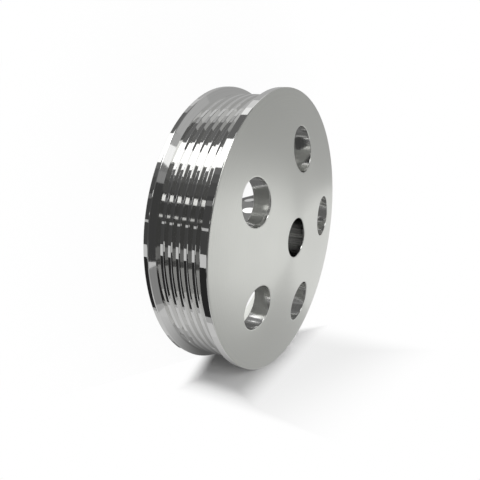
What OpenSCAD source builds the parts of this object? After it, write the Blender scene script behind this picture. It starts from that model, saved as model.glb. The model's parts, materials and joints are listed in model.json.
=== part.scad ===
// Ribbed belt pulley, turned from one billet of aluminium.
// It stands on the back of its rim: the axis is +Z, the crowned front face is up
// and the origin is on the axis in the plane of the rim's back face.

/* [Belt face] */
// Diameter over the rib crests
belt_d = 116.4; // [114:0.2:160]
// Number of V-grooves
groove_count = 6; // [3:1:10]
// Distance from one groove to the next
groove_pitch = 3.56; // [2.6:0.01:4.7]
// Angle between the two flanks of a groove
groove_angle = 40; // [36:1:44]
// Width of the flat crest between two grooves
crest_w = 1.38; // [0.6:0.02:1.7]
// Radius at the root of a groove
root_r = 0.3; // [0.1:0.05:0.4]

/* [Flanges] */
// Height of the two flanges above the rib crests
flange_h = 2.8; // [1:0.1:8]
// Lean of the flanges' inner walls from the radial direction
flange_wall_angle = 30; // [0:1:50]
// Width of the back flange's cylindrical land
back_land_w = 2.2; // [1:0.05:8]
// Width of the front flange's cylindrical land
front_land_w = 3.35; // [1:0.05:8]

/* [Crowned face] */
// Height of the face at the bore above its edge at the front flange
crown_h = 7.1; // [0:0.1:16]
// Bulge of the face above a straight cone, half way from bore to edge
crown_bow = 0.85; // [0:0.05:3]

/* [Web] */
// Thickness of the web, measured along the axis
web_t = 7.9; // [4:0.1:12]
// Number of lightening holes
hole_count = 5; // [3:1:6]
// Diameter of a lightening hole
hole_d = 19; // [8:0.2:22]
// Diameter of the circle through the hole centres
hole_circle_d = 75; // [64:0.5:78]

/* [Hub and back] */
// Diameter of the shaft bore
bore_d = 17; // [8:0.05:20]
// Diameter of the hub at its back face
hub_d = 25; // [22:0.5:34]
// Lean of the hub's side from the axis: the hub widens towards the web
hub_taper = 18; // [0:1:24]
// Distance from the rim's back face in to the hub's back face
hub_recess = 2; // [0:0.1:10]
// Metal between the groove roots and the hollow behind the web
rim_wall = 4.6; // [3:0.1:6]
// Fillet between hub and web
hub_fillet = 4; // [1:0.5:6]
// Fillet between rim and web
rim_fillet = 4; // [1:0.5:6]

/* [Edges] */
// Size of the bevel on turned edges
edge_break = 0.4; // [0.1:0.05:0.8]

/* [Hidden] */

half_angle = groove_angle / 2;
belt_r = belt_d / 2;
flange_r = belt_r + flange_h;
bore_r = bore_d / 2;
hub_r = hub_d / 2;

// A groove's root arc touches its flanks root_half_w from the middle, flank_depth below the crests
groove_w = groove_pitch - crest_w;
root_half_w = root_r * cos(half_angle);
flank_depth = (groove_w / 2 - root_half_w) / tan(half_angle);
groove_depth = flank_depth + root_r * (1 - sin(half_angle));
root_arc_step = (180 - groove_angle) / 4;

// Places along the axis, from the back of the rim
wall_run = flange_h * tan(flange_wall_angle);
first_groove_z = back_land_w + wall_run + groove_w / 2;
ribs_w = (groove_count - 1) * groove_pitch + groove_w;
rim_w = back_land_w + wall_run + ribs_w + wall_run + front_land_w;
front_land_z = rim_w - front_land_w;

rim_inner_r = belt_r - groove_depth - rim_wall;
web_outer_r = rim_inner_r - rim_fillet;

face_steps = 16;
web_steps = 8;
fillet_steps = 6;
fillet_tries = 8;
cut_margin = 1;
round_fn = 144;

// Height of the crowned front face at radius r
function face_z(r) =
    let (t = (r - bore_r) / (flange_r - bore_r))
    rim_w + crown_h * (1 - t) + 4 * crown_bow * t * (1 - t);

// Height of the web's back at radius r: it follows the crown
function web_back_z(r) = face_z(r) - web_t;

// Radius at which the hub's tapered side runs into its fillet, closing in from a first guess
function hub_top_r(r, tries) =
    let (rise = web_back_z(r) - hub_fillet * (1 - sin(hub_taper)) - hub_recess)
    tries < 1 ? r : hub_top_r(hub_r + rise * tan(hub_taper), tries - 1);
web_inner_r = hub_top_r(hub_r, fillet_tries) + hub_fillet * cos(hub_taper);

// One groove seen in section, from its back crest edge to its front crest edge
function groove_points(z) = concat(
    [[belt_r, z - groove_w / 2]],
    [for (a = [-90 + half_angle : root_arc_step : 90 - half_angle])
        [belt_r - groove_depth + root_r * (1 - cos(a)), z + root_r * sin(a)]],
    [[belt_r, z + groove_w / 2]]
);

// Outside of the rim, from its back face to the edge of the crowned face
function rim_points() = concat(
    [[flange_r - edge_break, 0]],
    [[flange_r, edge_break]],
    [[flange_r, back_land_w]],
    [for (i = [0 : groove_count - 1])
        each groove_points(first_groove_z + i * groove_pitch)],
    [[flange_r, front_land_z]],
    [[flange_r, rim_w - edge_break]]
);

// Crowned face, from its edge in to the bore
function face_points() =
    let (outer = flange_r - edge_break, inner = bore_r + edge_break)
    [for (i = [0 : face_steps])
        let (r = outer + (inner - outer) * i / face_steps)
        [r, face_z(r)]];

// Bore and hub, from the crowned face back and out to the hub's side
function hub_points() = [
    [bore_r, face_z(bore_r) - edge_break],
    [bore_r, hub_recess + edge_break],
    [bore_r + edge_break, hub_recess],
    [hub_r - edge_break, hub_recess],
    [hub_r, hub_recess + edge_break]
];

// Hollow behind the web, from the hub out to the inside of the rim
function hollow_points() = concat(
    [for (i = [0 : fillet_steps - 1])
        let (a = (90 - hub_taper) * (1 - i / fillet_steps), r = web_inner_r - hub_fillet * sin(a))
        [r, web_back_z(r) - hub_fillet * (1 - cos(a))]],
    [for (i = [0 : web_steps])
        let (r = web_inner_r + (web_outer_r - web_inner_r) * i / web_steps)
        [r, web_back_z(r)]],
    [for (i = [1 : fillet_steps])
        let (a = 90 * i / fillet_steps, r = web_outer_r + rim_fillet * sin(a))
        [r, web_back_z(r) - rim_fillet * (1 - cos(a))]],
    [[rim_inner_r, edge_break]],
    [[rim_inner_r + edge_break, 0]]
);

module turned_blank() {
    rotate_extrude($fn = round_fn)
        polygon(concat(rim_points(), face_points(), hub_points(), hollow_points()));
}

module lightening_holes() {
    for (i = [0 : hole_count - 1])
        rotate([0, 0, 90 + i * 360 / hole_count])
            translate([hole_circle_d / 2, 0, hub_recess])
                cylinder(d = hole_d, h = rim_w + crown_h + cut_margin, $fn = round_fn);
}

module pulley() {
    color("silver")
        difference() {
            turned_blank();
            lightening_holes();
        }
}

pulley();
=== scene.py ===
# %% [markdown]
# A ribbed belt pulley, dressed for its portrait. The solid part comes from the frame at its real size.
# This lesson turns the same pulley again as one fine mesh, gives each surface the finish that the lathe
# and the buffing wheel left on it, and sets up the light and the camera. We work in millimetres, because
# that is how a turner thinks, and scale to metres at the end.

# %% Load the frame
import json
import math

import bmesh
import bpy
from mathutils import Matrix, Vector


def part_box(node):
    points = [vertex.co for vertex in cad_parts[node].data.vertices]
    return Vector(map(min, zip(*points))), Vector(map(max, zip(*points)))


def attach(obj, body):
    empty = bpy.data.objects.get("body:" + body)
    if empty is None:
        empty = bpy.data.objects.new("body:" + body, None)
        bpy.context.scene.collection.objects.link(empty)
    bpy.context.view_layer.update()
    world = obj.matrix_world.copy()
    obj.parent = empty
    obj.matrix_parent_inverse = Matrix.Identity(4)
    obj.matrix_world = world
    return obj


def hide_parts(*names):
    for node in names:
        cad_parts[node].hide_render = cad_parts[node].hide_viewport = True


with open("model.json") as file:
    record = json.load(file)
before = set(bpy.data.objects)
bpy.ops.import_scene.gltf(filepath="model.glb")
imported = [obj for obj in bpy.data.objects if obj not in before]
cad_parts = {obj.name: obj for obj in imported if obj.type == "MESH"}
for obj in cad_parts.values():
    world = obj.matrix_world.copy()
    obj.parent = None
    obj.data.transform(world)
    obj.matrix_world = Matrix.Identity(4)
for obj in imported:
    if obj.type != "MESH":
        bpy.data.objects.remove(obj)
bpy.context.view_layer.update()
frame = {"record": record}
mm = 0.001
low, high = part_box("pulley")
print("the solid pulley measures, in mm:", [round(side / mm, 2) for side in high - low])

# %% [markdown]
# The outside first, where the belt runs: six V-grooves between two flanges. All sizes are in millimetres,
# and they are the ones that the solid was turned to. Naming each one once means that the section further
# down reads like a drawing. The sharp V is deeper than the real groove, because a small radius fills its
# root.

# %% Sizes of the flanges and grooves
flange_r = 61.0
flange_h = 2.8
flange_wall_angle = math.radians(30)
back_land_w = 2.2
front_land_w = 3.35
groove_count = 6
groove_pitch = 3.56
crest_w = 1.38
half_angle = math.radians(20)
root_r = 0.3
belt_r = flange_r - flange_h
groove_w = groove_pitch - crest_w
vee_depth = groove_w / 2 / math.tan(half_angle)
groove_depth = vee_depth - root_r * (1 / math.sin(half_angle) - 1)
print("belt radius", round(belt_r, 2), "mm, groove depth", round(groove_depth, 2), "mm")

# %% Places along the axis
wall_run = flange_h * math.tan(flange_wall_angle)
first_groove_z = back_land_w + wall_run + groove_w / 2
last_groove_z = first_groove_z + (groove_count - 1) * groove_pitch
front_land_z = last_groove_z + groove_w / 2 + wall_run
rim_w = front_land_z + front_land_w
print("rim width", round(rim_w, 2), "mm")

# %% [markdown]
# Inside the rim sits a drilled web with a tapered hub. The radius of the bore and the place of the hub's
# back come straight from the frame, where they are kept as mounts, so the mesh can't drift away from the
# shaft.

# %% Sizes of the web and the hub
mounts = {mount["name"]: mount for mount in frame["record"]["mounts"]}
bore_r = mounts["shaft_bore"]["dims"]["r_mm"]
hub_recess = mounts["hub_back_face"]["pos_m"][2] / mm
crown_h = 7.1
crown_bow = 0.85
web_t = 7.9
hole_count = 5
hole_r = 9.5
hole_circle_r = 37.5
hub_r = 12.5
hub_taper = math.radians(18)
hub_fillet = 4.0
rim_fillet = 4.0
rim_wall = 4.6
rim_inner_r = belt_r - groove_depth - rim_wall
print("bore radius", bore_r, "mm, inside of the rim at", round(rim_inner_r, 2), "mm")


# %% [markdown]
# The front is not flat: it rises towards the bore in a shallow crown, and the web behind it keeps the same
# thickness all the way. Two small formulas give the height of the front and of the back at any radius, and
# everything that has to follow the crown asks them. The hub's fillet starts where its tapered side comes
# within reach of the web. That place depends on the height there, so we close in on it in a few steps.

# %% Height of the front
def face_z(r):
    """Height of the crowned front at radius r."""
    t = (r - bore_r) / (flange_r - bore_r)
    return rim_w + crown_h * (1 - t) + 4 * crown_bow * t * (1 - t)


closing_steps = 8
hub_top_r = hub_r
for _ in range(closing_steps):
    rise = face_z(hub_top_r) - web_t - hub_fillet * (1 - math.sin(hub_taper)) - hub_recess
    hub_top_r = hub_r + rise * math.tan(hub_taper)
band_inner_r = hub_top_r + hub_fillet * math.cos(hub_taper)
print("face height at the bore", round(face_z(bore_r), 2), "mm")
print("the hub's fillet ends at radius", round(band_inner_r, 2), "mm")


# %% Height of the back
def back_z(r):
    """Height of the web's back at radius r, with the fillets at hub and rim."""
    into_hub = max(0.0, band_inner_r - r) / hub_fillet
    into_rim = max(0.0, r - rim_inner_r + rim_fillet) / rim_fillet
    drop = hub_fillet * (1 - math.sqrt(max(0.0, 1 - into_hub**2)))
    drop += rim_fillet * (1 - math.sqrt(max(0.0, 1 - into_rim**2)))
    return face_z(r) - web_t - drop


print("back of the web over the holes' circle at", round(back_z(hole_circle_r), 2), "mm")

# %% [markdown]
# Now the web. Five round holes in a crowned plate would be hard to cut cleanly, so we lay the plate out
# flat, like a paper pattern. A spun line makes a ring of small squares. Around each hole we take squares
# away, put in a true circle with two rings around it, and let Blender fill the seam with triangles.
# Boolean cuts would also make holes, but they leave thin slivers that spoil the reflections.

# %% Spin a line into a ring of squares
turn_steps = 240
band_outer_r = 50.0
band_steps = 24
axis = Vector((0, 0, 1))
full_turn = 2 * math.pi
weld = 0.002


def spin_full(bm, geometry, steps=turn_steps):
    """Turns a section once round the axis."""
    bmesh.ops.spin(bm, geom=geometry, cent=(0, 0, 0), axis=axis, dvec=(0, 0, 0),
                   angle=full_turn, steps=steps, use_merge=True, use_duplicate=False)
    bmesh.ops.remove_doubles(bm, verts=bm.verts, dist=weld)


bm = bmesh.new()
spoke = []
for i in range(band_steps + 1):
    r = band_inner_r + (band_outer_r - band_inner_r) * i / band_steps
    spoke.append(bm.verts.new((r, 0, 0)))
lines = [bm.edges.new(pair) for pair in zip(spoke, spoke[1:])]
spin_full(bm, spoke + lines)
print("ring of", len(bm.faces), "squares")

# %% Clear the squares around the holes
hole_clear = 1.7
hole_centres = []
for i in range(hole_count):
    turn = math.pi / 2 + i * full_turn / hole_count
    hole_centres.append(Vector((math.cos(turn), math.sin(turn), 0)) * hole_circle_r)


def hole_distance(point):
    """How far a point lies from the axis of the nearest hole."""
    return min((point.xy - centre.xy).length for centre in hole_centres)


crowded = [v for v in bm.verts if hole_distance(v.co) < hole_r + hole_clear]
bmesh.ops.delete(bm, geom=crowded, context="VERTS")
print("squares left:", len(bm.faces))

# %% Put a round hole into each gap
hole_steps = 72
hole_rings = (0.6, 1.3)


def verts_among(geometry):
    """The vertices in what an operator gave back."""
    return [item for item in geometry if isinstance(item, bmesh.types.BMVert)]


for centre in hole_centres:
    circle = bmesh.ops.create_circle(bm, segments=hole_steps, radius=hole_r, cap_ends=False,
                                     matrix=Matrix.Translation(centre))
    ring = list(dict.fromkeys(edge for v in circle["verts"] for edge in v.link_edges))
    from_r = hole_r
    for step in hole_rings:
        grown = bmesh.ops.extrude_edge_only(bm, edges=ring)["geom"]
        verts = verts_among(grown)
        to_r = hole_r + step
        bmesh.ops.scale(bm, vec=Vector((1, 1, 1)) * (to_r / from_r), verts=verts,
                        space=Matrix.Translation(-centre))
        ring = [item for item in grown if isinstance(item, bmesh.types.BMEdge)
                and all(v in verts for v in item.verts)]
        from_r = to_r
    seam = [edge for edge in bm.edges if edge.is_boundary
            and hole_r + weld < (edge.verts[0].co - centre).length < hole_r + 2 * hole_clear]
    bmesh.ops.triangle_fill(bm, use_beauty=True, use_dissolve=False, edges=seam, normal=axis)
border = sum(edge.is_boundary for edge in bm.edges)
print("flat web:", len(bm.faces), "faces,", border, "edges on its borders")

# %% [markdown]
# Extruding the pattern makes the walls of the holes by itself. Then the old faces sink to the height of
# the back and the new ones rise to the height of the front. The extrusion also walls up the two round
# borders of the web. There it runs on into hub and rim, so those walls come off again.

# %% Extrude the web and lift it to the crown
same_place = 0.01
bmesh.ops.recalc_face_normals(bm, faces=bm.faces)
if sum(face.normal.z for face in bm.faces) < 0:
    bmesh.ops.reverse_faces(bm, faces=bm.faces)
lower = list(bm.verts)
grown = bmesh.ops.extrude_face_region(bm, geom=list(bm.faces), use_keep_orig=True)["geom"]
for v in lower:
    v.co.z = back_z(v.co.xy.length)
for v in verts_among(grown):
    v.co.z = face_z(v.co.xy.length)


def is_band_edge(face):
    """True for the two round walls where the web runs on into hub and rim."""
    radii = [v.co.xy.length for v in face.verts]
    return max(radii) < band_inner_r + same_place or min(radii) > band_outer_r - same_place


bmesh.ops.delete(bm, geom=[face for face in bm.faces if is_band_edge(face)], context="FACES")
print("web:", len(bm.faces), "faces")

# %% [markdown]
# Rim and hub are pure lathe work. Each is drawn as an open section in the XZ plane, with sharp corners, as
# on a drawing. A vertex bevel on the bare line then rounds the corners: a wide one makes the radius at the
# root of a V-groove, a small one breaks the edge of a flange. One spin makes the solid of revolution.

# %% Tools for a section
fillet_steps = 12


def face_run(from_r, to_r, steps):
    """Points along the crowned face, ends included."""
    radii = [from_r + (to_r - from_r) * i / steps for i in range(steps + 1)]
    return [(r, face_z(r)) for r in radii]


def fillet_run(start_r, fillet, towards, from_turn, to_turn):
    """Points along a fillet of the web's back, between two turns of its arc."""
    turns = [from_turn + (to_turn - from_turn) * i / fillet_steps for i in range(fillet_steps + 1)]
    radii = [start_r + towards * fillet * math.sin(turn) for turn in turns]
    return [(r, back_z(r)) for r in radii]


def spin_section(points, rounded):
    """Draws a section, rounds the corners listed in rounded and turns it once round the axis."""
    section = bmesh.new()
    line = [section.verts.new((r, 0, z)) for r, z in points]
    for pair in zip(line, line[1:]):
        section.edges.new(pair)
    for radius, segments, corners in rounded:
        picked = [v for v in section.verts
                  if any((v.co - Vector((r, 0, z))).length < weld for r, z in corners)]
        bmesh.ops.bevel(section, geom=picked, offset=radius, offset_type="OFFSET", segments=segments,
                        profile=0.5, affect="VERTICES", material=-1)
    spin_full(section, section.verts[:] + section.edges[:])
    turned = bpy.data.meshes.new("turned")
    section.to_mesh(turned)
    section.free()
    bm.from_mesh(turned)
    bpy.data.meshes.remove(turned)


# %% Draw and spin the rim
edge_break = 0.4
edge_segments = 3
land_break = 0.3
crest_break = 0.12
crest_segments = 2
root_reach = root_r / math.tan(half_angle)
root_segments = 8
face_steps = 12
front_edge = (flange_r, face_z(flange_r))
front_land = (flange_r, front_land_z)
back_land = (flange_r, back_land_w)
back_edge = (flange_r, 0)
hollow_edge = (rim_inner_r, 0)
roots = []
crests = []
ribs = []
for i in reversed(range(groove_count)):
    z = first_groove_z + i * groove_pitch
    root = (belt_r - vee_depth, z)
    sides = [(belt_r, z + groove_w / 2), (belt_r, z - groove_w / 2)]
    roots.append(root)
    crests += sides
    ribs += [sides[0], root, sides[1]]
crests = crests[1:-1]
start_turn = math.asin((band_outer_r - rim_inner_r + rim_fillet) / rim_fillet)
rim_back = fillet_run(rim_inner_r - rim_fillet, rim_fillet, 1, start_turn, math.pi / 2)
rim = face_run(band_outer_r, flange_r, face_steps) + [front_land] + ribs
rim += [back_land, back_edge, hollow_edge] + rim_back[::-1]
spin_section(rim, [
    (root_reach, root_segments, roots),
    (crest_break, crest_segments, crests),
    (land_break, edge_segments, [front_land, back_land]),
    (edge_break, edge_segments, [front_edge, back_edge, hollow_edge]),
])
print("web and rim:", len(bm.faces), "faces")

# %% Draw and spin the hub, and weld all three
hub_edge = (hub_r, hub_recess)
bore_back = (bore_r, hub_recess)
bore_front = (bore_r, face_z(bore_r))
hub = fillet_run(band_inner_r, hub_fillet, -1, 0, math.pi / 2 - hub_taper) + [hub_edge, bore_back]
hub += face_run(bore_r, band_inner_r, face_steps)
spin_section(hub, [(edge_break, edge_segments, [hub_edge, bore_back, bore_front])])
bmesh.ops.remove_doubles(bm, verts=bm.verts, dist=weld)
bmesh.ops.recalc_face_normals(bm, faces=bm.faces)
open_edges = sum(not edge.is_manifold for edge in bm.edges)
print("turned pulley:", len(bm.faces), "faces,", open_edges, "open edges")

# %% [markdown]
# A drill leaves a sharp burr, and the turner takes it off with a touch of a countersink. A narrow edge
# bevel does the same, and the bright line that it catches tells the eye that the holes are real. The edges
# to bevel lie on a hole's circle and bend sharply. The upright edges of a hole's wall bend only a little,
# so they stay.

# %% Break the edges of the holes
hole_break = 0.25
hole_edge_bend = math.radians(40)
hole_edges = [edge for edge in bm.edges
              if all(abs(hole_distance(v.co) - hole_r) < same_place for v in edge.verts)
              and edge.calc_face_angle(0) > hole_edge_bend]
bmesh.ops.bevel(bm, geom=hole_edges, offset=hole_break, offset_type="OFFSET", segments=edge_segments,
                profile=0.5, affect="EDGES", material=-1)
print("broken hole edges:", len(hole_edges), "volume", round(bm.calc_volume(), 1), "mm3")

# %% [markdown]
# The finishes. Five different tools touched this piece: the front was turned and left satin, the rim, the
# ribs and the hub were buffed to a mirror, the holes were drilled and reamed bright, the bore was honed
# along its length, and the back was only turned. Each gets a material slot, and every face picks its own
# by where it lies and which way it looks.

# %% Sort the faces by finish
finish_kinds = ("satin", "mirror", "reamed", "bored", "turned")
SATIN, MIRROR, REAMED, BORED, TURNED = range(len(finish_kinds))
hole_skin = 0.02
face_skin = 0.3
front_facing = 0.5
rib_lean = 0.3
hub_lean = 0.7


def finish_of(face):
    """Which finish a face has, from its place and its direction."""
    place = face.calc_center_median()
    r = place.xy.length
    sideways = face.normal.xy.length
    if hole_distance(place) < hole_r + hole_skin:
        return REAMED
    if r < bore_r + hole_skin:
        return BORED
    if face.normal.z > front_facing and abs(place.z - face_z(r)) < face_skin:
        return SATIN
    if r > belt_r - vee_depth and sideways > rib_lean:
        return MIRROR
    if r < band_inner_r and sideways > hub_lean:
        return MIRROR
    return TURNED


for face in bm.faces:
    face.material_index = finish_of(face)
    face.smooth = True
for kind, name in enumerate(finish_kinds):
    print(name, "faces:", sum(face.material_index == kind for face in bm.faces))

# %% [markdown]
# Smooth shading bends the light across an edge, which a mirror shows at once. So the foot of each flange
# and every edge between a broad face and a narrow bevel is marked sharp. On the rest, a Weighted Normal
# modifier lets the broad faces lead. The finished mesh is scaled to metres, rides on the one body of the
# part and stands in for the solid.

# %% Mark the sharp edges
broad_to_narrow = 3
sharp_bend = math.radians(6)
for edge in bm.edges:
    small, large = sorted(face.calc_area() for face in edge.link_faces)
    at_foot = all(abs(v.co.xy.length - belt_r) < same_place for v in edge.verts)
    if (at_foot or large > broad_to_narrow * small) and edge.calc_face_angle(0) > sharp_bend:
        edge.smooth = False
print("sharp edges:", sum(not edge.smooth for edge in bm.edges))


# %% Make the pulley
def put_in_scene(name, data):
    """Puts new data into the scene as an object at the origin."""
    made = bpy.data.objects.new(name, data)
    bpy.context.scene.collection.objects.link(made)
    return made


face_weight = 60
bmesh.ops.scale(bm, vec=(mm, mm, mm), verts=bm.verts)
mesh = bpy.data.meshes.new("billet_pulley")
bm.to_mesh(mesh)
bm.free()
pulley = put_in_scene("billet_pulley", mesh)
even = pulley.modifiers.new("even_normals", "WEIGHTED_NORMAL")
even.mode = "FACE_AREA"
even.weight = face_weight
even.keep_sharp = True
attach(pulley, "root")
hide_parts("pulley")
print("the pulley has", len(mesh.vertices), "vertices and", len(mesh.polygons), "faces")


# %% [markdown]
# Shader maths as plain Python. A Wire is one output of a node, and adding, subtracting or multiplying
# wires makes the Math nodes. Any other node comes from the one method called node. A ramp, which turns a
# value into a soft step, is needed so often that it gets a function of its own.

# %% A small language for shaders
class Wire:
    """One socket of a node tree that Python's operators can calculate with."""

    def __init__(self, tree, socket=None):
        self.tree = tree
        self.socket = socket

    def node(self, kind, settings, sockets, output=0):
        """Adds a node, sets it up, feeds its sockets and returns one of its outputs."""
        made = self.tree.nodes.new(kind)
        for name, value in settings.items():
            setattr(made, name, value)
        for name, value in sockets.items():
            if isinstance(value, Wire):
                value.feed(made, name)
            else:
                made.inputs[name].default_value = value
        return Wire(self.tree, made.outputs[output])

    def out(self, name):
        """Another output of the same node."""
        return Wire(self.tree, self.socket.node.outputs[name])

    def feed(self, node, name):
        """Links this wire to a socket of a node."""
        self.tree.links.new(self.socket, node.inputs[name])

    def math(self, operation, *others):
        """Adds a Math node that works on this wire and the others."""
        return self.node("ShaderNodeMath", {"operation": operation}, dict(enumerate((self, *others))))

    def __add__(self, other):
        return self.math("ADD", other)

    def __sub__(self, other):
        return self.math("SUBTRACT", other)

    def __mul__(self, other):
        return self.math("MULTIPLY", other)

    def __rsub__(self, other):
        return self * -1 + other

    __radd__ = __add__
    __rmul__ = __mul__


def ramp(value, start, stop, low=0.0, high=1.0):
    """A soft step of a wire's value, from low at start to high at stop."""
    ends = {"From Min": start, "From Max": stop, "To Min": low, "To Max": high}
    return value.node("ShaderNodeMapRange", {"interpolation_type": "SMOOTHSTEP"}, {"Value": value, **ends})


# %% [markdown]
# Machined metal. A tool leaves fine marks side by side, so one number, how far a point lies across them,
# drives all the texture. On turned surfaces it is radius plus height: on the face the radius changes, on a
# land the height does. In a reamed hole it is the height, and in the honed bore the way round it, so that
# the streaks run along the bore. Thin noise on that number bumps the surface, stains it a little and
# breaks up its shine. Marks too fine for the picture still stretch each highlight, and that is what
# Anisotropic is for.

# %% Metal with tool marks
noise_detail = 3.0
noise_roughness = 0.6
noise_mean = 0.5
stain_from = 0.4
stain_to = 0.6
cloud_scale = 60.0
stretch_turn = 0.25
factor_in, first_colour_in, second_colour_in, colour_out = 0, 6, 7, 2


def machined(name, colour, roughness, wander, mark_w, mark_h, run, stretch, stain):
    """Bare metal with tool marks mark_w apart and mark_h high, in millimetres, across one run."""
    material = bpy.data.materials.new(name)
    material.use_nodes = True
    shader = material.node_tree.nodes["Principled BSDF"]
    pen = Wire(material.node_tree)
    place = pen.node("ShaderNodeTexCoord", {}, {}, "Object")
    split = pen.node("ShaderNodeSeparateXYZ", {}, {0: place})
    x, y, z = (split.out(i) for i in range(3))
    by_radius, by_height, by_turn = run
    radius = (x * x + y * y).math("SQRT")
    across = radius * by_radius + z * by_height + y.math("ARCTAN2", x) * (by_turn * mm)
    marks = pen.node("ShaderNodeTexNoise", {"noise_dimensions": "1D"},
                     {"W": across, "Scale": 1 / (mark_w * mm),
                      "Detail": noise_detail, "Roughness": noise_roughness})
    cloud = pen.node("ShaderNodeTexNoise", {},
                     {"Vector": place, "Scale": cloud_scale, "Detail": noise_detail})
    shine = roughness + (marks - noise_mean) * wander + (cloud - noise_mean) * wander
    shine.feed(shader, "Roughness")
    bump = pen.node("ShaderNodeBump", {}, {"Height": marks, "Distance": mark_h * mm, "Strength": 1.0})
    bump.feed(shader, "Normal")
    dull = [(1 - stain) * channel for channel in colour]
    clean = ramp(marks, stain_from, stain_to)
    tint = pen.node("ShaderNodeMix", {"data_type": "RGBA"},
                    {factor_in: clean, first_colour_in: (*dull, 1), second_colour_in: (*colour, 1)},
                    colour_out)
    tint.feed(shader, "Base Color")
    shader.inputs["Metallic"].default_value = 1.0
    shader.inputs["Anisotropic"].default_value = stretch
    shader.inputs["Anisotropic Rotation"].default_value = stretch_turn
    return material


# %% [markdown]
# Now the five finishes themselves, in the order of the slots. A row gives a finish its colour, its
# roughness and how far that wanders, the width and the height of its marks in millimetres, which way they
# run, how much they stretch a highlight and how deep they stain. The bore is stained most, because a hone
# leaves dark streaks.

# %% The five finishes
aluminium = (0.80, 0.81, 0.77)
bright_aluminium = (0.85, 0.85, 0.84)
along_section = (1, 1, 0)
along_height = (0, 1, 0)
round_bore = (0, 0, bore_r)
faint = 0.04
finishes = [
    ("satin_face", aluminium, 0.30, 0.06, 0.25, 0.001, along_section, 0.7, faint),
    ("buffed_rim", bright_aluminium, 0.045, 0.03, 0.15, 0.0001, along_section, 0.0, faint),
    ("reamed_holes", bright_aluminium, 0.12, 0.10, 0.80, 0.006, along_height, 0.0, faint),
    ("honed_bore", bright_aluminium, 0.14, 0.10, 0.80, 0.050, round_bore, 0.0, 0.6),
    ("turned_back", aluminium, 0.30, 0.10, 0.40, 0.003, along_section, 0.7, faint),
]
for finish in finishes:
    mesh.materials.append(machined(*finish))
print("finishes:", [material.name for material in mesh.materials])

# %% [markdown]
# The camera. The pulley lies on its back here, because on its rim it would roll away, while the photograph
# shows it standing on the rim. So the camera is turned on its side: its own up is nearly the pulley's +Y.
# The lens does not point at the middle of the picture, as in a photograph that was cropped, so it is also
# shifted.

# %% Set up the camera
image_px = 480
focal_px = 547.7
axis_row_px = 311
film_w = 36.0
nearest = 0.01
farthest = 20
eye = Vector((-224.1, 5.0, 130.2)) * mm
forward = Vector((0.8739, -0.1654, -0.4570)).normalized()
up_hint = Vector((0.0826, 0.9772, -0.1956))
right = forward.cross(up_hint).normalized()
up = right.cross(forward)
camera_data = bpy.data.cameras.new("camera")
camera_data.sensor_width = film_w
camera_data.lens = focal_px / image_px * film_w
camera_data.shift_y = (axis_row_px - image_px / 2) / image_px
camera_data.clip_start = nearest
camera_data.clip_end = farthest
camera = put_in_scene("camera", camera_data)
camera.matrix_world = Matrix.Translation(eye) @ Matrix((right, up, -forward)).transposed().to_4x4()
bpy.context.scene.camera = camera
print("lens", round(camera_data.lens, 1), "mm, shift", round(camera_data.shift_y, 3))

# %% [markdown]
# The stage. A pale paper floor lies under the pulley. Most of its white is its own glow, which only the
# camera, mirrors and glass see, so it needs no strong lamps to be white. Around the pulley a little of the
# glow gives way to matt paper, which takes a shadow. Further out the glow is all there is, and the floor
# runs into the white behind it without an edge. From below, the paper is clear.

# %% Tools for the stage
white = (1, 1, 1, 1)
matt_white = (0.7, 0.7, 0.7, 1)


def stage_mesh(name, bm, materials):
    """Makes a piece of the stage from a bmesh."""
    data = bpy.data.meshes.new(name)
    bm.to_mesh(data)
    bm.free()
    for material in materials:
        data.materials.append(material)
    made = put_in_scene(name, data)
    return made


def hide_from(made, *rays):
    """Makes a piece invisible to some kinds of rays."""
    for ray in rays:
        setattr(made, "visible_" + ray, False)


def bare_material(name):
    """A material with nothing but its output, and a wire to start from."""
    material = bpy.data.materials.new(name)
    material.use_nodes = True
    material.node_tree.nodes.remove(material.node_tree.nodes["Principled BSDF"])
    return material, Wire(material.node_tree), material.node_tree.nodes["Material Output"]


def paper(name, glow_of):
    """White matt paper, part of whose white is a glow that only the camera, mirrors and glass see."""
    material, pen, surface = bare_material(name)
    rays = pen.node("ShaderNodeLightPath", {}, {})
    seen = rays.out("Is Camera Ray")
    for kind in ("Is Glossy Ray", "Is Transmission Ray"):
        seen = seen.math("MAXIMUM", rays.out(kind))
    share, colour = glow_of(pen)
    matt = pen.node("ShaderNodeBsdfDiffuse", {}, {"Color": matt_white})
    glow = pen.node("ShaderNodeEmission", {}, {"Color": colour, "Strength": 1.0})
    front = pen.node("ShaderNodeMixShader", {}, {0: seen * share, 1: matt, 2: glow})
    clear = pen.node("ShaderNodeBsdfTransparent", {}, {})
    behind = pen.node("ShaderNodeNewGeometry", {}, {}, "Backfacing")
    pen.node("ShaderNodeMixShader", {}, {0: behind, 1: front, 2: clear}).feed(surface, "Surface")
    return material


# %% Lay the floor
floor_size = 20.0
glow_from = 0.075
glow_to = 0.130
near_glow = 0.96


def floor_glow(pen):
    """Share and colour of the floor's glow: a little less of it round the pulley."""
    place = pen.node("ShaderNodeTexCoord", {}, {}, "Object")
    away = pen.node("ShaderNodeVectorMath", {"operation": "LENGTH"}, {0: place}, "Value")
    return ramp(away, glow_from, glow_to, near_glow, 1.0), white


floor_bm = bmesh.new()
bmesh.ops.create_grid(floor_bm, x_segments=1, y_segments=1, size=floor_size)
floor = stage_mesh("floor", floor_bm, [paper("floor_paper", floor_glow)])
hide_from(floor, "shadow")
print("the floor faces", [round(part, 2) for part in floor.data.polygons[0].normal])

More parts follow.
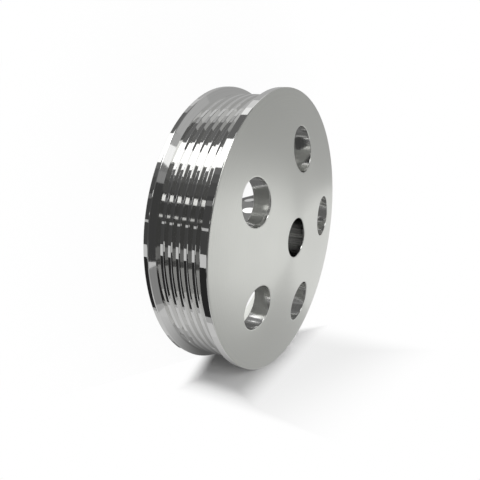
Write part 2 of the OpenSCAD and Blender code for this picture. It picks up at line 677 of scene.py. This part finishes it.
# %% [markdown]
# A second sheet stands upright against the rim. In the picture it is the table, and the pulley's shadow
# falls on it as a painted shadow, drawn by the shape of the sheet's glow. A shadow has soft edges, so we
# describe it by straight lines across the sheet: each row says how much x and z count along a line, and
# between which two places, in millimetres, the shadow ends there. The core is where the glow goes out and
# the lamps alone light the paper, so their real shadow shows there. Around it lies a wider, pale painted
# shade, where the glow itself turns grey.

# %% Set up the backdrop
backdrop_gap = 0.00015
core_glow = 0.04
# Grey of the glow in the painted shade.
painted_shade_level = 0.85
# Where the glow goes out: the outline of the painted shadow's core.
painted_shadow_edges = [
    (0.45, 1, 4, -4),
    (1, 0, -34, -52),
    (0.214, 1, 25, 41),
    (0.2, -1, 10, 24),
]
# Where the glow turns grey: the outline of the painted shade around the core.
painted_shade_edges = [
    (0.45, 1, 0, -6),
    (1, 0, -48, -60),
    (0, 1, 40, 88),
    (1, 0, 70, 150),
    (0.2, -1, 10, 24),
]


def beyond(pen, edges):
    """How far a point lies outside a set of soft straight edges on the backdrop, from 0 to 1."""
    place = pen.node("ShaderNodeTexCoord", {}, {}, "Object")
    split = pen.node("ShaderNodeSeparateXYZ", {}, {0: place})
    furthest = 0.0
    for across, upward, start, stop in edges:
        along = split.out(0) * across + split.out(2) * upward
        furthest = ramp(along, start * mm, stop * mm).math("MAXIMUM", furthest)
    return furthest


def backdrop_glow(pen):
    """Share and colour of the backdrop's glow: nearly none in the painted shadow's core,
    and a painted grey shade around that.
    """
    share = beyond(pen, painted_shadow_edges).math("MAXIMUM", core_glow)
    return share, beyond(pen, painted_shade_edges) * (1 - painted_shade_level) + painted_shade_level


upright = Matrix.Rotation(-math.pi / 2, 4, "X")
backdrop_place = Matrix.Translation((0, -flange_r * mm - backdrop_gap, floor_size)) @ upright
backdrop_bm = bmesh.new()
bmesh.ops.create_grid(backdrop_bm, x_segments=1, y_segments=1, size=floor_size, matrix=backdrop_place)
backdrop = stage_mesh("backdrop", backdrop_bm, [paper("backdrop_paper", backdrop_glow)])
hide_from(backdrop, "glossy")
print("the backdrop faces", [round(part, 2) for part in backdrop.data.polygons[0].normal])

# %% [markdown]
# Polished metal shows nothing but its surroundings, so the surroundings are what we light. Around the
# table stands a tent of white, grey and black panels with a dark roof, as a photographer would hang it.
# The camera looks through it, and everything else sees it. Angles run from the camera's side, -X, towards
# +Y, which is up in the picture. A row gives a panel's two angles and its grey level, where 1 is white
# paper.

# %% A tent of panels
panels = [
    ("dark_room", -22, 22, 0.07),
    ("dusk", 22, 32, 0.11),
    ("dawn", 32, 39, 0.15),
    ("window_edge", 39, 47, 0.20),
    ("window", 47, 65, 2.60),
    ("shade", 65, 100, 0.20),
    ("upper_near", 100, 122, 0.44),
    ("upper_wall", 122, 173, 0.38),
    ("face_panel", 173, 192, 0.80),
    ("lower_wall", 192, 242, 0.39),
    ("lower_near", 242, 284, 0.58),
    ("half_light", 284, 302, 0.62),
    ("half_shade", 302, 323, 0.37),
    ("gap", 323, 328, 0.09),
    ("strip", 328, 338, 0.21),
]
roof_level = 0.05
tent_r = 1.5
tent_h = 4.1
tent_steps = 360
wall_lean = 0.5


def even_glow(name, level):
    """A material that shines evenly at one grey level."""
    material, pen, surface = bare_material(name)
    shine = pen.node("ShaderNodeEmission", {}, {"Color": (level, level, level, 1), "Strength": 1.0})
    shine.feed(surface, "Surface")
    return material


tent_bm = bmesh.new()
outline = [tent_bm.verts.new((-r, 0, z)) for r, z in ((tent_r, 0), (tent_r, tent_h), (0, tent_h))]
hem = [tent_bm.edges.new(pair) for pair in zip(outline, outline[1:])]
spin_full(tent_bm, outline + hem, tent_steps)
for face in tent_bm.faces:
    middle = face.calc_center_median()
    turn_deg = math.degrees(math.atan2(middle.y, -middle.x)) % 360
    face.material_index = len(panels)
    for i, (name, from_deg, to_deg, level) in enumerate(panels):
        if abs(face.normal.z) < wall_lean and (turn_deg - from_deg) % 360 < to_deg - from_deg:
            face.material_index = i
glows = [even_glow(name, level) for name, _, _, level in panels]
tent = stage_mesh("tent", tent_bm, glows + [even_glow("roof", roof_level)])
hide_from(tent, "camera")
print("tent:", len(panels), "panels and a roof,", len(tent.data.polygons), "faces")

# %% [markdown]
# The lands and crests of the rim stand upright and mirror the floor just in front of them. A card laid
# there gives them a dark or a light band. To know where to lay it, follow the camera's line of sight to
# the rim and bounce it off: every point of the rim at one angle looks along the same line on the floor. A
# card is the fan of those lines between two angles, and only mirrors see it. The higher a point of the rim
# lies, the further out it looks, so some bands need an inner and an outer card.

# %% Follow a line of sight to the floor
card_lift = 0.0003
card_step_deg = 2.0
all_but_mirrors = ("camera", "diffuse", "shadow", "transmission")


def sight_line(turn):
    """Where a line of sight meets the rim on the floor plan, and how it goes on from there."""
    outward = Vector((-math.cos(turn), math.sin(turn)))
    foot = outward * flange_r * mm
    look = (foot - eye.xy).normalized()
    return foot, look - 2 * look.dot(outward) * outward


def card(name, from_deg, to_deg, level, span):
    """A card that gives the rim a band of one grey level between two angles on it."""
    near, far = span
    card_bm = bmesh.new()
    steps = max(1, round((to_deg - from_deg) / card_step_deg))
    bmesh.ops.create_grid(card_bm, x_segments=steps, y_segments=1, size=1.0)
    for v in card_bm.verts:
        across, out = (v.co.x + 1) / 2, (v.co.y + 1) / 2
        foot, onward = sight_line(math.radians(from_deg + across * (to_deg - from_deg)))
        v.co = (foot + onward * (near + (far - near) * out)).to_3d()
        v.co.z = card_lift
    made = stage_mesh(name, card_bm, [even_glow(name, level)])
    hide_from(made, *all_but_mirrors)


# %% Lay the cards
card_reach = 1.4
low_split = 0.028
high_split = 0.038
whole = (0.0, card_reach)
inner, outer = (0.0, low_split), (low_split, card_reach)
inner_high, outer_high = (0.0, high_split), (high_split, card_reach)
cards = [
    ("low_dark", -62.0, -55.0, 0.20, whole),
    ("low_mid", -55.0, -50.0, 0.38, whole),
    ("low_grey", -50.0, -35.5, 0.60, inner),
    ("low_grey_far", -50.0, -35.0, 0.60, outer),
    ("low_edge", -35.0, -32.3, 0.40, outer),
    ("low_edge_near", -35.5, -34.0, 0.40, inner),
    ("low_nook", -34.0, -32.3, 0.03, inner),
    ("low_black", -32.3, -13.2, 0.022, whole),
    ("low_strip", -13.2, -8.7, 0.60, whole),
    ("mid_dark_a", -8.7, -0.9, 0.058, whole),
    ("mid_spot", -0.9, 0.0, 0.50, whole),
    ("mid_dark_b", 0.0, 7.3, 0.058, whole),
    ("mid_tick", 7.3, 9.0, 0.16, whole),
    ("mid_dark_c", 9.0, 10.5, 0.058, whole),
    ("high_dusk", 10.5, 15.0, 0.075, whole),
    ("high_dawn", 15.0, 18.0, 0.10, whole),
    ("high_edge", 18.0, 20.4, 0.15, whole),
    ("window_foot", 20.4, 31.6, 1.25, whole),
    ("window_nook", 31.6, 32.5, 1.25, inner),
    ("high_dark_near", 32.5, 43.3, 0.14, inner),
    ("high_dark", 31.6, 43.3, 0.14, outer),
    ("high_crest", 43.3, 47.5, 0.40, inner_high),
    ("high_white", 43.3, 47.5, 0.95, outer_high),
    ("high_rise", 47.5, 53.0, 0.60, inner_high),
    ("high_pale", 47.5, 53.0, 0.72, outer_high),
    ("high_grey", 53.0, 82.0, 0.45, whole),
]
for row in cards:
    card(*row)
print("cards on the floor:", len(cards))

# %% [markdown]
# Through the holes in the web we look at their far walls, and these mirror what lies under the pulley. So
# a few round cards go there, which only mirrors see: a dark one as a ground, painted shade for the shaded
# floor under the web, smaller glowing ones on it for painted streaks of light, and a grey one that paints
# a reflection into the bore. Two dark flags hang just below the web, each under one hole, where no other
# hole's wall looks; they darken only the reflections in those walls.
# A row gives the middle, the radius and the height in millimetres, and the grey level.

# %% Lay discs under the pulley
disc_steps = 48
discs = [
    # The first disc is painted shade, the light ones painted streaks of light, bore_grey a painted
    # reflection.
    ("painted_hollow_shade", 0, 0, 50, 0.2, 0.15),
    ("hollow_mid", -20, 8, 24, 0.25, 0.24),
    ("hollow_light_a", -17.5, 21.5, 3.8, 0.3, 1.5),
    ("hollow_light_b", -45, 14, 6, 0.3, 1.6),
    ("hollow_light_c", 31, -36, 8, 0.3, 1.1),
    ("hollow_light_d", 0, 26, 3.5, 0.3, 0.60),
    ("bore_grey", 0, 0, 11, 0.35, 0.90),
    ("top_flag", -6, 29, 8.5, 19, 0.05),
    ("side_flag", 18, 19, 5.5, 18, 0.08),
]
for name, x, y, r, lift, level in discs:
    disc_bm = bmesh.new()
    bmesh.ops.create_circle(disc_bm, segments=disc_steps, radius=r * mm, cap_ends=True,
                            matrix=Matrix.Translation((x * mm, y * mm, lift * mm)))
    hide_from(stage_mesh(name, disc_bm, [even_glow(name, level)]), *all_but_mirrors)
print("discs under the pulley:", len(discs))


# %% [markdown]
# The flanks of the grooves and the crowned face look higher up, at the tent itself. Openings in it, lit or
# in shade, give the groove flanks their ticks and the face its slow change from light to dark. Each is one
# sheet hung just inside the tent, between two turns and two rises, in degrees, with its grey level last.

# %% Hang openings in the tent
patch_away = 1.4
patches = [
    ("tick", 15, 20, 8, 26, 1.3),
    ("spot", 2, 4, 8, 26, 0.80),
    ("high_panel", 166, 204, 30, 68, 0.92),
    ("roof_dusk", 80, 106, 53, 58, 0.42),
    ("roof_light", 80, 104, 58, 68.5, 1.05),
    ("roof_edge", 62, 92, 68.5, 73, 0.26),
    ("low_shade", 258, 284, 51, 72, 0.25),
    ("low_half", 258, 284, 43, 51, 0.40),
]


def look_towards(turn_deg, rise_deg):
    """A direction from its turn, counted from -X towards +Y, and its rise above the floor."""
    turn, rise = math.radians(turn_deg), math.radians(rise_deg)
    level_part = math.cos(rise)
    return Vector((-math.cos(turn) * level_part, math.sin(turn) * level_part, math.sin(rise)))


for name, from_deg, to_deg, low_deg, high_deg, level in patches:
    corners = ((from_deg, low_deg), (to_deg, low_deg), (to_deg, high_deg), (from_deg, high_deg))
    patch_bm = bmesh.new()
    patch_bm.faces.new([patch_bm.verts.new(look_towards(*corner) * patch_away) for corner in corners])
    hide_from(stage_mesh(name, patch_bm, [even_glow(name, level)]), "camera")
print("openings in the tent:", len(patches))

# %% [markdown]
# Where the rim touches the upright sheet, the metal mirrors the shadow at its own foot. The sheet is
# hidden from mirrors, so a graded card stands in for it there, a painted shadow that only mirrors see:
# dark in the middle of the contact, pale at its ends. It is no higher than the rim, so that the face in
# front never sees it.

# %% Stand a card by the rim's foot
contact_lift = 0.1
contact_z = 10
contact_h = 28
contact_core = 8
contact_reach = 42
# Greys of the painted shadow, at its middle and at its reach.
painted_shadow_dark = 0.10
painted_shadow_pale = 0.55
contact_y = -flange_r - contact_lift
contact_middle = Vector((0, contact_y, contact_z)) * mm
contact_half = Vector((contact_reach, contact_h / 2, 1)) * mm
contact_place = Matrix.Translation((contact_middle.x, contact_middle.y, contact_half.y)) @ upright
contact_bm = bmesh.new()
bmesh.ops.create_grid(contact_bm, x_segments=1, y_segments=1, size=1.0,
                      matrix=contact_place @ Matrix.Diagonal((*contact_half, 1)))
# The card's grey is a painted shadow: darkest at the contact, paler further out.
contact_glow, pen, surface = bare_material("painted_contact_shadow")
place = pen.node("ShaderNodeTexCoord", {}, {}, "Object")
away = pen.node("ShaderNodeVectorMath", {"operation": "DISTANCE"}, {0: place, 1: contact_middle}, "Value")
level = ramp(away, contact_core * mm, contact_reach * mm, painted_shadow_dark, painted_shadow_pale)
pen.node("ShaderNodeEmission", {}, {"Color": level, "Strength": 1.0}).feed(surface, "Surface")
contact = stage_mesh("painted_contact_shadow", contact_bm, [contact_glow])
hide_from(contact, *all_but_mirrors)
print("contact card, mm:", [round(side / mm, 1) for side in contact.dimensions])

# %% [markdown]
# The light. The world is plain white behind the paper. Three soft lamps light what is matt, the paper, and
# so they draw the real shadow, which on the backdrop shows only where the painted shadow lets the glow go
# out. One hangs over the floor. Two stand high in the picture and behind the floor, which casts no shadow
# and lets them through. Mirrors don't see the lamps, since the tent already is what the metal shows. A row
# gives a lamp's turn and rise in degrees, its distance and size in metres and its power in watts.

# %% Light
world = bpy.data.worlds.new("white_behind")
world.use_nodes = True
background = world.node_tree.nodes["Background"]
background.inputs["Color"].default_value = white
background.inputs["Strength"].default_value = 1.0
bpy.context.scene.world = world
lamps = [
    ("floor_light", 0, 84, 0.9, 0.30, 5.0),
    ("backdrop_light", 106, -26, 0.8, 0.25, 1.6),
    ("side_light", 124, -30, 0.8, 0.15, 0.8),
]
for name, turn_deg, rise_deg, away, size, watts in lamps:
    data = bpy.data.lights.new(name, "AREA")
    data.size = size
    data.energy = watts
    lamp = put_in_scene(name, data)
    lamp.location = look_towards(turn_deg, rise_deg) * away
    lamp.rotation_euler = (-lamp.location).to_track_quat("-Z", "Y").to_euler()
    hide_from(lamp, "camera", "glossy")
bpy.context.scene.view_settings.view_transform = "Standard"
print("lamps:", [name for name, *_ in lamps])
